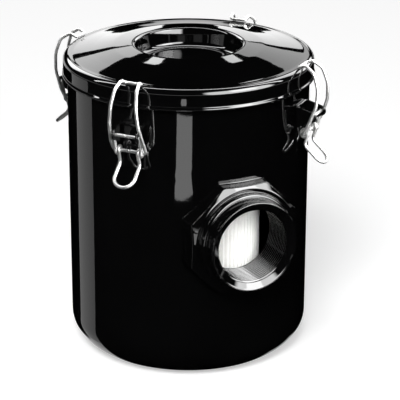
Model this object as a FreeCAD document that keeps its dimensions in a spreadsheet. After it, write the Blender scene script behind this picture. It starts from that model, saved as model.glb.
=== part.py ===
import FreeCAD, Part
import math
import os
import Sketcher
from FreeCAD import Placement, Rotation, Vector

# Vacuum pump inlet filter: a deep-drawn steel canister with a threaded inlet socket on its side,
# a threaded outlet socket in its dished base, a pressed lid with a central well, four bent-wire
# toggle latches and a pleated paper element inside.
# Frame: origin on the canister axis at the mouth of the outlet socket, +Z up, inlet towards -Y.

doc = FreeCAD.newDocument("inlet_filter")

# Driving dimensions in millimetres and degrees
SIZES = [
    ("can_radius", 95.0, "outside radius of the canister wall"),
    ("sheet", 1.5, "thickness of the pressed steel sheet"),
    ("base_corner", 24.0, "outside radius of the drawn base corner"),
    ("dish_depth", 12.0, "height that the base is dished up around the outlet"),
    ("foot_width", 11.0, "width of the flat ring that the canister stands on"),
    ("dish_slope", 10.0, "width of the slope between that ring and the dish"),
    ("rim_top", 239.2, "height of the lid's outer rim"),
    ("skirt_gap", 1.7, "gap between the lid's skirt and the canister wall"),
    ("skirt_depth", 17.3, "height of the lid skirt"),
    ("rim_corner", 5.0, "outside radius of the lid's rim"),
    ("rim_width", 7.7, "width of the lid's flat rim"),
    ("outer_knee", 23.2, "outer knee of the lid inward from its edge"),
    ("outer_rise", 2.6, "rise from the rim to the outer knee"),
    ("inner_knee", 39.2, "inner knee of the lid inward from its edge"),
    ("inner_rise", 5.6, "rise from the rim to the inner knee"),
    ("well_radius", 42.1, "radius of the well's mouth"),
    ("well_rise", 7.4, "rise from the rim to the well's mouth"),
    ("well_depth", 15.0, "depth of the well"),
    ("well_taper", 2.6, "how much narrower the well is at its floor"),
    ("well_lip", 2.6, "rounding of the well's mouth"),
    ("well_corner", 4.0, "rounding of the well's floor"),
    ("gasket_thickness", 2.5, "height of the lid gasket"),
    ("gasket_width", 6.4, "width of the lid gasket"),
    ("gasket_inset", 1.3, "gasket inward from the inside of the skirt"),
    ("gasket_round", 2.3, "rounding of the gasket under the rim"),
    ("port_height", 118.5, "height of the inlet axis"),
    ("thread_radius", 29.8, "major radius of the inlet and outlet threads"),
    ("neck_length", 25.0, "inlet face outward from the canister wall"),
    ("neck_radius", 35.6, "outside radius of the inlet neck"),
    ("face_chamfer", 4.8, "chamfer in the mouth of the inlet"),
    ("neck_round", 0.8, "rounding of the neck's outer edge"),
    ("neck_bead", 38.6, "radius of the bead where neck and boss meet"),
    ("bead_height", 4.2, "length of the bead"),
    ("bead_round", 2.6, "rounding of the bead"),
    ("boss_height", 9.5, "face of the octagonal boss outward from the canister wall"),
    ("boss_flats", 88.0, "distance across the flats of the boss"),
    ("boss_land", 41.8, "radius where the boss corners are turned down"),
    ("boss_turn", 30.0, "slope of the turned corners"),
    ("spigot_length", 7.0, "inner end of the inlet spigot inward from the canister wall"),
    ("weld_gap", 0.1, "gap at a welded joint"),
    ("overcut", 1.0, "how far a cutter runs past the material"),
    ("outlet_radius", 36.4, "outside radius of the outlet socket"),
    ("outlet_length", 35.0, "length of the outlet socket"),
    ("seat_radius", 46.0, "radius of the element seat on the outlet socket"),
    ("seat_thickness", 3.0, "thickness of the element seat"),
    ("element_radius", 58.0, "outside radius of the pleats"),
    ("pleat_depth", 17.6, "depth of a pleat"),
    ("pleat_count", 84, "number of pleats"),
    ("paper", 0.5, "thickness of the pleated paper"),
    ("tube_gap", 0.8, "gap between the pleats and the element's inner tube"),
    ("tube_wall", 1.0, "wall of the element's inner tube"),
    ("slot_width", 8.0, "width of a slot in the inner tube"),
    ("slot_height", 22.0, "height of a slot in the inner tube"),
    ("slot_rows", 5, "rows of slots in the inner tube"),
    ("slot_count", 10, "slots in one row"),
    ("cap_rim", 2.5, "end caps outward from the pleats"),
    ("cap_sheet", 1.2, "thickness of an end cap"),
    ("cap_lip", 8.0, "height of an end cap's lip"),
    ("seal_height", 3.5, "height of the bottom seal"),
    ("seal_inner", 31.0, "inside radius of the bottom seal"),
    ("seal_outer", 44.0, "outside radius of the bottom seal"),
    ("pad_height", 5.0, "height of the top pad"),
    ("pad_inner", 20.0, "inside radius of the top pad"),
    ("pad_outer", 34.0, "outside radius of the top pad"),
    ("latch_count", 4, "number of latches"),
    ("latch_start", -50.0, "angle of the first latch from the inlet, anticlockwise from above"),
    ("wire", 2.5, "diameter of the latch wire"),
    ("pivot_out", 13.0, "lever pivot from the canister wall"),
    ("pivot_drop", 36.2, "lever pivot below the lid's rim"),
    ("eye_out", 7.5, "bail pivot from the canister wall"),
    ("eye_drop", 13.5, "bail pivot below the lever pivot"),
    ("pin_clearance", 0.3, "clearance round a wire in its hole or eye"),
    ("wire_gap", 0.3, "gap between wires that pass each other"),
    ("pin_bend", 1.6, "bend radius of a wire where its end turns in"),
    ("end_gap", 1.0, "gap where two wire ends meet"),
    ("ear_width", 17.8, "width of the bracket over its ears"),
    ("ear_sheet", 1.5, "thickness of the bracket sheet"),
    ("ear_tip", 4.2, "radius of the ear round the lever pivot"),
    ("ear_top", 7.5, "top of the ear above the lever pivot"),
    ("ear_foot", 10.0, "foot of the ear below the lever pivot"),
    ("ear_low", 66.0, "angle below level where the ear's lower edge meets its round tip"),
    ("ear_high", 78.0, "angle above level where the ear's upper edge meets its round tip"),
    ("plate_foot", 29.0, "foot of the bracket plate below the lever pivot"),
    ("arm_bend", 10.0, "bend radius of the lever's arms by the eyes"),
    ("kink_bend", 5.0, "bend radius of the lever's kink"),
    ("kink_narrow", 1.0, "how much closer to the middle an arm is at its kink"),
    ("kink_drop", 23.5, "kink in the lever below its pivot"),
    ("kink_out", 7.2, "kink in the lever from the canister wall"),
    ("handle_drop", 37.2, "end of the lever below its pivot"),
    ("handle_out", 22.0, "end of the lever from the canister wall"),
    ("handle_half", 8.4, "half width of the lever's handle"),
    ("handle_round", 8.0, "rounding of the lever's handle"),
    ("bow_out", 17.9, "bow of the bail from the canister wall"),
    ("bow_rise", 23.0, "bow of the bail above the lever pivot"),
    ("foot_out", 4.4, "foot bend of the bail outward from its pivot"),
    ("foot_wide", 0.3, "how much wider a leg is at its foot bend"),
    ("foot_rise", 8.0, "foot bend of the bail above its pivot"),
    ("calf_in", 0.6, "lower end of the bail's straight stretch inward from its bow"),
    ("calf_narrow", 1.4, "how much closer to the middle a leg is there"),
    ("calf_drop", 14.0, "lower end of the straight stretch below the bow"),
    ("bow_wide", 0.6, "bow outward from midway between foot and hook"),
    ("neck_in", 4.2, "neck of the bail inward from its bow"),
    ("neck_narrow", 1.4, "how much closer to the middle a leg is at its neck"),
    ("neck_rise", 12.0, "neck of the bail above its bow"),
    ("lead_out", 5.2, "last bend before the hook, outward from it"),
    ("lead_wide", 0.9, "last bend before the hook, sideways from it"),
    ("lead_rise", 2.6, "last bend before the hook, above it"),
    ("foot_bend", 8.0, "bend radius of the bail's foot"),
    ("bow_bend", 20.0, "bend radius of the bail's bow"),
    ("neck_bend", 8.0, "bend radius of the bail's neck"),
    ("lead_bend", 3.0, "bend radius of the last bend before the hook"),
    ("hook_half", 6.4, "half width of the bail's hook"),
    ("hook_angle", 22.0, "where the hook lies on the rim's rounding, from its top"),
]

sheet = doc.addObject("Spreadsheet::Sheet", "dims")
for row, (alias, number, note) in enumerate(SIZES, start=1):
    sheet.set("A%d" % row, alias)
    sheet.set("B%d" % row, str(number))
    sheet.set("C%d" % row, note)
    sheet.setAlias("B%d" % row, alias)
doc.recompute()


def dim(expression):
    """Number that an expression of the sheet gives."""
    found = sheet.evalExpression(expression)
    return float(found.Value) if hasattr(found, "Value") else float(found)


# Sizes that follow from the driving ones, as expressions of the sheet
CAN_INNER = "(dims.can_radius - dims.sheet)"
DISH_FOOT = "(dims.can_radius - dims.base_corner - dims.foot_width)"
DISH_FLAT = "(dims.can_radius - dims.base_corner - dims.foot_width - dims.dish_slope)"
LID_RADIUS = "(dims.can_radius + dims.skirt_gap + dims.sheet)"
OUTER_KNEE = "(%s - dims.outer_knee)" % LID_RADIUS
INNER_KNEE = "(%s - dims.inner_knee)" % LID_RADIUS
RIM_FLAT = "(%s - dims.rim_width)" % LID_RADIUS
SKIRT_FOOT = "(dims.rim_top - dims.skirt_depth)"
LID_INNER = "(dims.can_radius + dims.skirt_gap)"
LID_UNDER = "(dims.rim_top - dims.sheet)"
CAN_TOP = "(dims.rim_top - dims.sheet - dims.gasket_thickness)"
WELL_TOP = "(dims.rim_top + dims.well_rise)"
WELL_FLOOR = "(dims.rim_top + dims.well_rise - dims.well_depth)"
WELL_UNDER = "(dims.rim_top + dims.well_rise - dims.well_depth - dims.sheet)"
PORT_FACE = "(dims.can_radius + dims.neck_length)"
BOSS_FACE = "(dims.can_radius + dims.boss_height)"
SPIGOT_END = "(dims.can_radius - dims.spigot_length)"
SEAT_TOP = "dims.outlet_length"
ELEMENT_FOOT = "(dims.outlet_length + dims.seal_height)"
MEDIA_FOOT = "(dims.outlet_length + dims.seal_height + dims.cap_sheet)"
ELEMENT_TOP = "(%s - dims.pad_height)" % WELL_UNDER
MEDIA_TOP = "(%s - dims.pad_height - dims.cap_sheet)" % WELL_UNDER
CAP_RADIUS = "(dims.element_radius + dims.cap_rim)"
TUBE_RADIUS = "(dims.element_radius - dims.pleat_depth - dims.tube_gap)"
PIVOT_HEIGHT = "(dims.rim_top - dims.pivot_drop)"

XY, XZ = "XY_Plane", "XZ_Plane"


def body(label):
    """Empty body with its own label."""
    made = doc.addObject("PartDesign::Body", label)
    made.Label = label
    return made


def sketch_on(owner, name, role):
    """Sketch on one of the body's own origin planes."""
    made = owner.newObject("Sketcher::SketchObject", name)
    plane = [feature for feature in owner.Origin.OriginFeatures if feature.Role == role][0]
    made.AttachmentSupport = [(plane, "")]
    made.MapMode = "FlatFace"
    return made


def pin_coordinate(made, kind, geometry, end, expression):
    """Hold one coordinate of a vertex at an expression of the sheet."""
    if expression == "0":
        axis = -2 if kind == "DistanceX" else -1
        made.addConstraint(Sketcher.Constraint("PointOnObject", geometry, end, axis))
        return
    index = made.addConstraint(Sketcher.Constraint(kind, -1, 1, geometry, end, dim(expression)))
    made.setExpression("Constraints[%d]" % index, expression)


def outline(made, corners):
    """Closed outline of straight runs whose corners follow the sheet."""
    first = made.GeometryCount
    places = [Vector(dim(x), dim(y), 0) for x, y in corners]
    count = len(places)
    for index in range(count):
        made.addGeometry(Part.LineSegment(places[index], places[(index + 1) % count]), False)
    for index in range(count):
        following = first + (index + 1) % count
        made.addConstraint(Sketcher.Constraint("Coincident", first + index, 2, following, 1))
    for index, (x, y) in enumerate(corners):
        pin_coordinate(made, "DistanceX", first + index, 1, x)
        pin_coordinate(made, "DistanceY", first + index, 1, y)


def circle(made, x, y, radius):
    """Circle whose centre and radius follow the sheet."""
    index = made.addGeometry(Part.Circle(Vector(dim(x), dim(y), 0), Vector(0, 0, 1), dim(radius)), False)
    pin_coordinate(made, "DistanceX", index, 3, x)
    pin_coordinate(made, "DistanceY", index, 3, y)
    held = made.addConstraint(Sketcher.Constraint("Radius", index, dim(radius)))
    made.setExpression("Constraints[%d]" % held, radius)


def revolved(owner, name, corners, angle="360"):
    """Profile in the radial plane turned about the body's own vertical axis."""
    made = sketch_on(owner, name + "_profile", XZ)
    outline(made, corners)
    turned = owner.newObject("PartDesign::Revolution", name)
    turned.Profile = made
    turned.ReferenceAxis = (made, ["V_Axis"])
    turned.setExpression("Angle", angle)
    doc.recompute()
    return turned


def turned_away(owner, name, corners):
    """Groove about the body's own vertical axis."""
    made = sketch_on(owner, name + "_profile", XZ)
    outline(made, corners)
    cut = owner.newObject("PartDesign::Groove", name)
    cut.Profile = made
    cut.ReferenceAxis = (made, ["V_Axis"])
    cut.Angle = 360
    doc.recompute()
    return cut


def pad(owner, name, made, length, midplane=False):
    """Pad of a sketch, its length bound to the sheet."""
    grown = owner.newObject("PartDesign::Pad", name)
    grown.Profile = made
    grown.Midplane = midplane
    grown.setExpression("Length", length)
    doc.recompute()
    return grown


def pocket(owner, name, made, length, midplane=False, reversed_side=False):
    """Pocket of a sketch, which has to take material away."""
    before = owner.Shape.Volume
    cut = owner.newObject("PartDesign::Pocket", name)
    cut.Profile = made
    cut.Midplane = midplane
    cut.Reversed = reversed_side
    cut.setExpression("Length", length)
    doc.recompute()
    if owner.Shape.Volume >= before - 1e-6:
        raise ValueError("%s cuts nothing" % name)
    return cut


def ring_edges(feature, rings):
    """Names of the circular edges at the given radius and height pairs."""
    wanted = [(dim(radius), dim(height)) for radius, height in rings]
    names = []
    for index, edge in enumerate(feature.Shape.Edges, start=1):
        if not isinstance(edge.Curve, Part.Circle):
            continue
        centre = edge.Curve.Center
        if math.hypot(centre.x, centre.y) > 1e-4:
            continue
        for radius, height in wanted:
            if abs(edge.Curve.Radius - radius) < 1e-3 and abs(centre.z - height) < 1e-3:
                names.append("Edge%d" % index)
    if len(names) < len(wanted):
        raise ValueError("%s has only %d of %d rings" % (feature.Name, len(names), len(wanted)))
    return names


def rounded(owner, name, rings, radius):
    """Fillet on circular edges of the body's last feature."""
    base = owner.Tip
    names = ring_edges(base, rings)
    made = owner.newObject("PartDesign::Fillet", name)
    made.Base = (base, names)
    made.setExpression("Radius", radius)
    doc.recompute()
    return made


parts = []


# Canister: one deep-drawn shell, its base dished up round the outlet, its wall pierced for the inlet
can = body("canister_body")
revolved(can, "can_shell", [
    ("dims.outlet_radius + dims.weld_gap", "dims.dish_depth"),
    (DISH_FLAT, "dims.dish_depth"),
    (DISH_FOOT, "0"),
    ("dims.can_radius", "0"),
    ("dims.can_radius", CAN_TOP),
    (CAN_INNER, CAN_TOP),
    (CAN_INNER, "dims.sheet"),
    (DISH_FOOT + " + dims.sheet / 2", "dims.sheet"),
    (DISH_FLAT + " + dims.sheet / 2", "dims.dish_depth + dims.sheet"),
    ("dims.outlet_radius + dims.weld_gap", "dims.dish_depth + dims.sheet"),
])
rounded(can, "can_corner_outside", [("dims.can_radius", "0")], "dims.base_corner")
rounded(can, "can_corner_inside", [(CAN_INNER, "dims.sheet")], "dims.base_corner - dims.sheet")
pierce = sketch_on(can, "inlet_pierce", XZ)
circle(pierce, "0", "dims.port_height", "dims.neck_radius + dims.weld_gap")
pocket(can, "inlet_hole", pierce, "dims.can_radius + dims.overcut", reversed_side=True)
parts.append(can)

# Lid: rolled rim and skirt, a crown that rises in three slopes, a deep well with a closed floor
lid = body("lid")
revolved(lid, "lid_shell", [
    ("0", WELL_FLOOR),
    ("dims.well_radius - dims.well_taper", WELL_FLOOR),
    ("dims.well_radius", WELL_TOP),
    (INNER_KNEE, "dims.rim_top + dims.inner_rise"),
    (OUTER_KNEE, "dims.rim_top + dims.outer_rise"),
    (RIM_FLAT, "dims.rim_top"),
    (LID_RADIUS, "dims.rim_top"),
    (LID_RADIUS, SKIRT_FOOT),
    (LID_INNER, SKIRT_FOOT),
    (LID_INNER, LID_UNDER),
    (RIM_FLAT, LID_UNDER),
    (OUTER_KNEE, "dims.rim_top + dims.outer_rise - dims.sheet"),
    (INNER_KNEE, "dims.rim_top + dims.inner_rise - dims.sheet"),
    ("dims.well_radius + dims.sheet", WELL_TOP + " - dims.sheet"),
    ("dims.well_radius - dims.well_taper + dims.sheet", WELL_UNDER),
    ("0", WELL_UNDER),
])
rounded(lid, "rim_outside", [(LID_RADIUS, "dims.rim_top")], "dims.rim_corner")
rounded(lid, "rim_inside", [(LID_INNER, LID_UNDER)], "dims.rim_corner - dims.sheet")
rounded(lid, "well_mouth", [("dims.well_radius", WELL_TOP)], "dims.well_lip")
rounded(lid, "well_floor", [("dims.well_radius - dims.well_taper", WELL_FLOOR)],
        "dims.well_corner")
rounded(lid, "well_floor_under", [("dims.well_radius - dims.well_taper + dims.sheet", WELL_UNDER)],
        "dims.well_corner + dims.sheet")
parts.append(lid)

# Lid gasket: flat rubber ring between the rim and the canister's edge
gasket = body("lid_gasket")
revolved(gasket, "gasket_ring", [
    (LID_INNER + " - dims.gasket_inset - dims.gasket_width", CAN_TOP),
    (LID_INNER + " - dims.gasket_inset", CAN_TOP),
    (LID_INNER + " - dims.gasket_inset", LID_UNDER),
    (LID_INNER + " - dims.gasket_inset - dims.gasket_width", LID_UNDER),
])
rounded(gasket, "gasket_edge", [(LID_INNER + " - dims.gasket_inset", LID_UNDER)], "dims.gasket_round")
parts.append(gasket)

# Inlet socket, drawn along its own axis from the canister axis: octagonal boss seated on the wall,
# bead, round neck with a chamfered mouth, and the spigot that passes through the wall
inlet = body("inlet_port")
flats = sketch_on(inlet, "boss_octagon", XY)
across = "dims.boss_flats / 2"
short = "dims.boss_flats / 2 * tan(22.5)"
outline(flats, [
    (across, short), (short, across), ("-(%s)" % short, across), ("-(%s)" % across, short),
    ("-(%s)" % across, "-(%s)" % short), ("-(%s)" % short, "-(%s)" % across),
    (short, "-(%s)" % across), (across, "-(%s)" % short),
])
pad(inlet, "boss", flats, BOSS_FACE)
turned_away(inlet, "boss_corners", [
    ("dims.boss_land", BOSS_FACE),
    ("dims.boss_flats", BOSS_FACE),
    ("dims.boss_flats", BOSS_FACE + " - (dims.boss_flats - dims.boss_land) * tan(dims.boss_turn)"),
])
saddle = sketch_on(inlet, "boss_saddle", XZ)
circle(saddle, "0", "0", "dims.can_radius + dims.weld_gap")
pocket(inlet, "saddle_cut", saddle, "dims.boss_flats + dims.overcut", midplane=True)
revolved(inlet, "inlet_neck", [
    ("dims.thread_radius", SPIGOT_END),
    ("dims.neck_radius", SPIGOT_END),
    ("dims.neck_radius", BOSS_FACE + " - dims.sheet"),
    ("dims.neck_bead", BOSS_FACE + " - dims.sheet"),
    ("dims.neck_bead", BOSS_FACE + " + dims.bead_height"),
    ("dims.neck_radius", BOSS_FACE + " + dims.bead_height"),
    ("dims.neck_radius", PORT_FACE),
    ("dims.thread_radius + dims.face_chamfer", PORT_FACE),
    ("dims.thread_radius", PORT_FACE + " - dims.face_chamfer"),
])
bore = sketch_on(inlet, "inlet_bore_circle", XY)
circle(bore, "0", "0", "dims.thread_radius")
pocket(inlet, "inlet_bore", bore, PORT_FACE + " - dims.face_chamfer", reversed_side=True)
rounded(inlet, "neck_edge", [("dims.neck_radius", PORT_FACE)], "dims.neck_round")
rounded(inlet, "bead_edge", [("dims.neck_bead", BOSS_FACE + " + dims.bead_height")],
        "dims.bead_round")
inlet.Placement = Placement(Vector(0, 0, dim("dims.port_height")), Rotation(Vector(1, 0, 0), 90))
inlet.setExpression("Placement.Base.z", "dims.port_height")
parts.append(inlet)

# Outlet socket, welded into the dish, with the flange that the element's seal sits on
outlet = body("outlet_port")
revolved(outlet, "outlet_socket", [
    ("dims.thread_radius", "0"),
    ("dims.outlet_radius", "0"),
    ("dims.outlet_radius", SEAT_TOP + " - dims.seat_thickness"),
    ("dims.seat_radius", SEAT_TOP + " - dims.seat_thickness"),
    ("dims.seat_radius", SEAT_TOP),
    ("dims.thread_radius", SEAT_TOP),
])
parts.append(outlet)

# Element: seal, end caps with folded lips, slotted inner tube, pleated paper and top pad
bottom_seal = body("element_bottom_seal")
revolved(bottom_seal, "bottom_seal_ring", [
    ("dims.seal_inner", SEAT_TOP),
    ("dims.seal_outer", SEAT_TOP),
    ("dims.seal_outer", ELEMENT_FOOT),
    ("dims.seal_inner", ELEMENT_FOOT),
])
parts.append(bottom_seal)

bottom_cap = body("element_bottom_cap")
revolved(bottom_cap, "bottom_cap_pan", [
    ("dims.seal_inner + dims.cap_sheet", ELEMENT_FOOT),
    (CAP_RADIUS, ELEMENT_FOOT),
    (CAP_RADIUS, ELEMENT_FOOT + " + dims.cap_lip"),
    (CAP_RADIUS + " - dims.cap_sheet", ELEMENT_FOOT + " + dims.cap_lip"),
    (CAP_RADIUS + " - dims.cap_sheet", MEDIA_FOOT),
    ("dims.seal_inner + dims.cap_sheet", MEDIA_FOOT),
])
parts.append(bottom_cap)

top_cap = body("element_top_cap")
revolved(top_cap, "top_cap_pan", [
    ("0", ELEMENT_TOP),
    (CAP_RADIUS, ELEMENT_TOP),
    (CAP_RADIUS, ELEMENT_TOP + " - dims.cap_lip"),
    (CAP_RADIUS + " - dims.cap_sheet", ELEMENT_TOP + " - dims.cap_lip"),
    (CAP_RADIUS + " - dims.cap_sheet", MEDIA_TOP),
    ("0", MEDIA_TOP),
])
parts.append(top_cap)

top_pad = body("element_top_pad")
revolved(top_pad, "top_pad_ring", [
    ("dims.pad_inner", ELEMENT_TOP),
    ("dims.pad_outer", ELEMENT_TOP),
    ("dims.pad_outer", WELL_UNDER),
    ("dims.pad_inner", WELL_UNDER),
])
parts.append(top_pad)

tube = body("element_inner_tube")
revolved(tube, "tube_shell", [
    (TUBE_RADIUS + " - dims.tube_wall", MEDIA_FOOT),
    (TUBE_RADIUS, MEDIA_FOOT),
    (TUBE_RADIUS, MEDIA_TOP),
    (TUBE_RADIUS + " - dims.tube_wall", MEDIA_TOP),
])
slots = sketch_on(tube, "tube_slots", XZ)
rows = int(dim("dims.slot_rows"))
for level in range(rows):
    middle = "%s + (%s - %s) * %d / %d" % (MEDIA_FOOT, MEDIA_TOP, MEDIA_FOOT, 2 * level + 1, 2 * rows)
    outline(slots, [
        ("-dims.slot_width / 2", middle + " - dims.slot_height / 2"),
        ("dims.slot_width / 2", middle + " - dims.slot_height / 2"),
        ("dims.slot_width / 2", middle + " + dims.slot_height / 2"),
        ("-dims.slot_width / 2", middle + " + dims.slot_height / 2"),
    ])
slot_cut = pocket(tube, "slot_cut", slots, TUBE_RADIUS + " + dims.overcut", reversed_side=True)
ring_of_slots = tube.newObject("PartDesign::PolarPattern", "ring_of_slots")
ring_of_slots.Originals = [slot_cut]
ring_of_slots.Axis = (slots, ["V_Axis"])
ring_of_slots.Angle = 360
ring_of_slots.setExpression("Occurrences", "dims.slot_count")
tube.Tip = ring_of_slots
doc.recompute()
parts.append(tube)


def pleated_ring():
    """Paper folded in and out between two radii, as one closed band of even thickness."""
    count = int(dim("dims.pleat_count"))
    tip = dim("dims.element_radius")
    root = tip - dim("dims.pleat_depth")
    half_pitch = math.pi * tip / count
    slant = dim("dims.paper") * math.hypot(tip - root, half_pitch) / half_pitch
    foot = dim(MEDIA_FOOT)
    tall = dim(MEDIA_TOP) - foot
    wires = []
    for far, near in ((tip, root + slant), (tip - slant, root)):
        places = []
        for fold in range(2 * count):
            reach = far if fold % 2 == 0 else near
            turn = math.pi * fold / count
            places.append(Vector(reach * math.cos(turn), reach * math.sin(turn), foot))
        wires.append(Part.makePolygon(places + places[:1]))
    band = Part.makeFace(wires, "Part::FaceMakerBullseye")
    return band.extrude(Vector(0, 0, tall))


media = doc.addObject("Part::Feature", "element_media")
media.Label = "element_media"
media.Shape = pleated_ring()
parts.append(media)


def bent_wire(places, bends, thickness):
    """Round wire along straight runs joined by tangent arcs, one bend radius at each inner place."""
    edges = []
    start = places[0]
    for index in range(1, len(places) - 1):
        corner = places[index]
        back = (places[index - 1] - corner).normalize()
        ahead = (places[index + 1] - corner).normalize()
        half = math.acos(max(-1.0, min(1.0, back.dot(ahead)))) / 2
        reach = bends[index - 1] / math.tan(half)
        enter = corner + back * reach
        leave = corner + ahead * reach
        inward = (back + ahead).normalize()
        middle = corner + inward * (bends[index - 1] / math.sin(half) - bends[index - 1])
        if (enter - start).Length > 1e-6:
            edges.append(Part.LineSegment(start, enter).toShape())
        edges.append(Part.Arc(enter, middle, leave).toShape())
        start = leave
    edges.append(Part.LineSegment(start, places[-1]).toShape())
    path = Part.Wire(edges)
    section = Part.Wire(Part.Circle(places[0], places[1] - places[0], thickness / 2).toShape())
    swept = path.makePipeShell([section], True, False)
    length_ratio = swept.Volume / (math.pi * thickness ** 2 / 4 * path.Length)
    if abs(length_ratio - 1) > 0.01:
        raise ValueError("wire volume is off by %.3f" % length_ratio)
    return swept


def mirrored(places):
    """Both halves of a wire that is symmetric about the latch's middle plane."""
    return places + [Vector(place.x, -place.y, place.z) for place in reversed(places)]


# Latch layout in the latch's own frame: +X outward from the canister axis, Y along the pivots
wire = dim("dims.wire")
pivot = Vector(dim("dims.can_radius + dims.pivot_out"), 0, dim(PIVOT_HEIGHT))
eye = Vector(dim("dims.can_radius + dims.eye_out"), 0, dim(PIVOT_HEIGHT + " - dims.eye_drop"))
end_half = dim("dims.end_gap / 2")
EYE_RADIUS = "dims.wire + dims.pin_clearance"
arm_side = dim("dims.ear_width / 2 + dims.wire_gap + dims.wire / 2")
leg_side = arm_side + wire + dim("dims.wire_gap")


def lever_shape():
    """Lever: ends turned in through the ears, an eye on each side, a rounded handle."""
    out = dim("dims.can_radius")
    places = mirrored([
        Vector(pivot.x, end_half, pivot.z),
        Vector(pivot.x, arm_side, pivot.z),
        Vector(eye.x + dim(EYE_RADIUS), arm_side, eye.z),
        Vector(out + dim("dims.kink_out"), arm_side - dim("dims.kink_narrow"),
               pivot.z - dim("dims.kink_drop")),
        Vector(out + dim("dims.handle_out"), dim("dims.handle_half"),
               pivot.z - dim("dims.handle_drop")),
    ])
    bends = [dim("dims." + name) for name in ("pin_bend", "arm_bend", "kink_bend", "handle_round")]
    swept = bent_wire(places, bends + bends[::-1], wire)
    for side in (arm_side, -arm_side):
        centre = Vector(eye.x, side, eye.z)
        swept = swept.fuse(Part.makeTorus(dim(EYE_RADIUS), wire / 2, centre, Vector(0, 1, 0)))
    return swept.removeSplitter()


def bail_shape():
    """Bail: ends turned in through the lever's eyes, bowed legs, a hook that lies on the rim."""
    corner = dim("dims.rim_corner")
    reach = corner + dim("dims.wire_gap") + wire / 2
    turn = math.radians(dim("dims.hook_angle"))
    hook = Vector(dim(LID_RADIUS) - corner + reach * math.sin(turn), dim("dims.hook_half"),
                  dim("dims.rim_top") - corner + reach * math.cos(turn))
    bow = Vector(dim("dims.can_radius + dims.bow_out"), (leg_side + hook.y) / 2 + dim("dims.bow_wide"),
                 pivot.z + dim("dims.bow_rise"))
    places = mirrored([
        Vector(eye.x, end_half, eye.z),
        Vector(eye.x, leg_side, eye.z),
        Vector(eye.x + dim("dims.foot_out"), leg_side + dim("dims.foot_wide"),
               eye.z + dim("dims.foot_rise")),
        Vector(bow.x - dim("dims.calf_in"), leg_side - dim("dims.calf_narrow"),
               bow.z - dim("dims.calf_drop")),
        bow,
        Vector(bow.x - dim("dims.neck_in"), bow.y - dim("dims.neck_narrow"),
               bow.z + dim("dims.neck_rise")),
        Vector(hook.x + dim("dims.lead_out"), hook.y + dim("dims.lead_wide"),
               hook.z + dim("dims.lead_rise")),
        hook,
    ])
    names = ("pin_bend", "foot_bend", "bow_bend", "bow_bend", "neck_bend", "lead_bend", "pin_bend")
    bends = [dim("dims." + name) for name in names]
    return bent_wire(places, bends + bends[::-1], wire)


def bracket_body(label):
    """Bracket: curved plate spot-welded to the wall, two ears that hold the lever's ends."""
    made = body(label)
    inner = "dims.can_radius + dims.weld_gap"
    outer = "dims.can_radius + dims.weld_gap + dims.ear_sheet"
    plate = revolved(made, label + "_plate", [
        (inner, PIVOT_HEIGHT + " - dims.plate_foot"),
        (outer, PIVOT_HEIGHT + " - dims.plate_foot"),
        (outer, PIVOT_HEIGHT + " + dims.ear_top"),
        (inner, PIVOT_HEIGHT + " + dims.ear_top"),
    ], "2 * asin(dims.ear_width / 2 / dims.can_radius)")
    plate.Midplane = True
    side = sketch_on(made, label + "_side", XZ)
    outline(side, [
        ("dims.can_radius + dims.ear_sheet / 2", PIVOT_HEIGHT + " - dims.ear_foot"),
        ("dims.can_radius + dims.pivot_out + dims.ear_tip * cos(dims.ear_low)",
         PIVOT_HEIGHT + " - dims.ear_tip * sin(dims.ear_low)"),
        ("dims.can_radius + dims.pivot_out + dims.ear_tip * cos(dims.ear_high)",
         PIVOT_HEIGHT + " + dims.ear_tip * sin(dims.ear_high)"),
        ("dims.can_radius + dims.ear_sheet / 2", PIVOT_HEIGHT + " + dims.ear_top"),
    ])
    pad(made, label + "_ears", side, "dims.ear_width", midplane=True)
    tip = sketch_on(made, label + "_tip", XZ)
    circle(tip, "dims.can_radius + dims.pivot_out", PIVOT_HEIGHT, "dims.ear_tip")
    pad(made, label + "_tips", tip, "dims.ear_width", midplane=True)
    channel = sketch_on(made, label + "_channel", XZ)
    beyond = "dims.can_radius + dims.pivot_out + dims.ear_tip + dims.overcut"
    below = PIVOT_HEIGHT + " - dims.plate_foot - dims.overcut"
    above = PIVOT_HEIGHT + " + dims.ear_top + dims.overcut"
    outline(channel, [(outer, below), (beyond, below), (beyond, above), (outer, above)])
    pocket(made, label + "_inside", channel, "dims.ear_width - 2 * dims.ear_sheet", midplane=True)
    drill = sketch_on(made, label + "_drill", XZ)
    circle(drill, "dims.can_radius + dims.pivot_out", PIVOT_HEIGHT,
           "dims.wire / 2 + dims.pin_clearance / 2")
    pocket(made, label + "_holes", drill, "dims.ear_width + dims.overcut", midplane=True)
    return made


lever = lever_shape()
bail = bail_shape()
count = int(dim("dims.latch_count"))
for number in range(count):
    turn = "dims.latch_start + %d * 360 / dims.latch_count - 90" % number
    place = Placement(Vector(0, 0, 0), Rotation(Vector(0, 0, 1), dim(turn)))
    bracket = bracket_body("latch_%d_bracket" % (number + 1))
    bracket.Placement = place
    bracket.setExpression("Placement.Rotation.Angle", turn)
    parts.append(bracket)
    for word, shape in (("lever", lever), ("bail", bail)):
        piece = doc.addObject("Part::Feature", "latch_%d_%s" % (number + 1, word))
        piece.Label = "latch_%d_%s" % (number + 1, word)
        piece.Shape = shape
        piece.Placement = place
        parts.append(piece)

doc.recompute()
for item in doc.Objects:
    if "Invalid" in item.State or "Error" in item.State:
        raise ValueError("%s failed: %s" % (item.Label, item.State))
os.makedirs("parts", exist_ok=True)
for item in parts:
    if item.Shape.isNull() or not item.Shape.isValid() or not item.Shape.Solids:
        raise ValueError("%s has no valid solid" % item.Label)
    item.Shape.exportStep("parts/%s.step" % item.Label)
    box = item.Shape.BoundBox
    print("%-24s %d solid, %9.1f mm3, z %.1f to %.1f" % (
        item.Label, len(item.Shape.Solids), item.Shape.Volume, box.ZMin, box.ZMax))
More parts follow.
